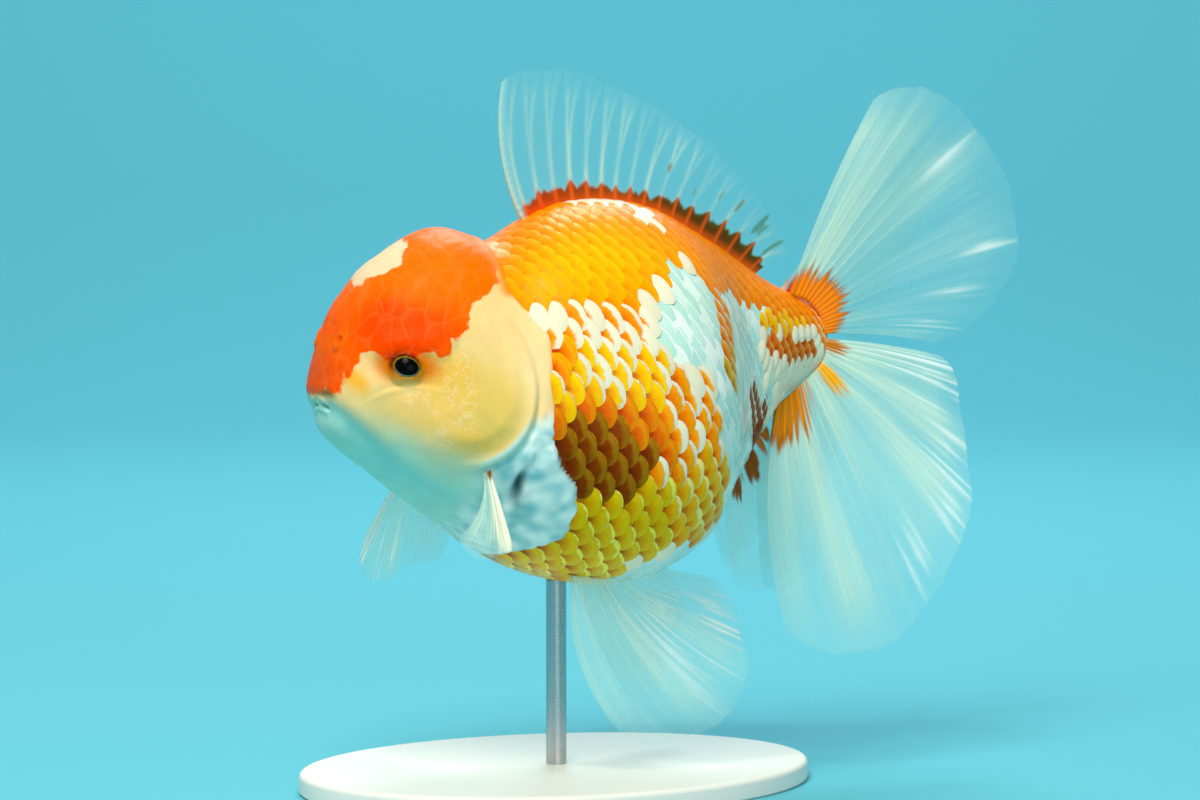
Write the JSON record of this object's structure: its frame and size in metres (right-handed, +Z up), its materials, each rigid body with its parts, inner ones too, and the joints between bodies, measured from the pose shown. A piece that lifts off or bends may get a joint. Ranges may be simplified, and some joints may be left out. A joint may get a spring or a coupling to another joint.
{
  "type": "fancy goldfish model",
  "caption": "Life-size still model of a hooded, round-bodied fancy goldfish with a tall dorsal fin and a split flowing tail, held on a plain display stand.",
  "frame": {"origin": "middle of the stand base's underside, on the floor", "axes": "+Z up, head towards -X, tail towards +X, the fish's left side towards -Y"},
  "size_m": [0.159, 0.0798, 0.1409],
  "materials": {
    "skin": "wet-looking scaled skin, red-orange, white and olive markings",
    "fin": "thin translucent membrane between pearly rays",
    "eye": "polished, black pupil in a narrow pale gold ring",
    "stand_paint": "satin off-white powder coat",
    "stand_steel": "brushed"
  },
  "bodies": {
    "root": {"head": "skin", "hood": "skin", "gill_cover_left": "skin", "gill_cover_right": "skin", "trunk": "skin", "tail_stalk": "skin", "eye_left": "eye", "eye_right": "eye", "dorsal_fin": "fin", "pectoral_fin_left": "fin", "pectoral_fin_right": "fin", "pelvic_fin_left": "fin", "pelvic_fin_right": "fin", "anal_fin_left": "fin", "anal_fin_right": "fin", "tail_fin_left_upper": "fin", "tail_fin_left_lower": "fin", "tail_fin_right_upper": "fin", "tail_fin_right_lower": "fin", "stand_base": "stand_paint", "stand_rod": "stand_steel"}
  },
  "joints": []
}
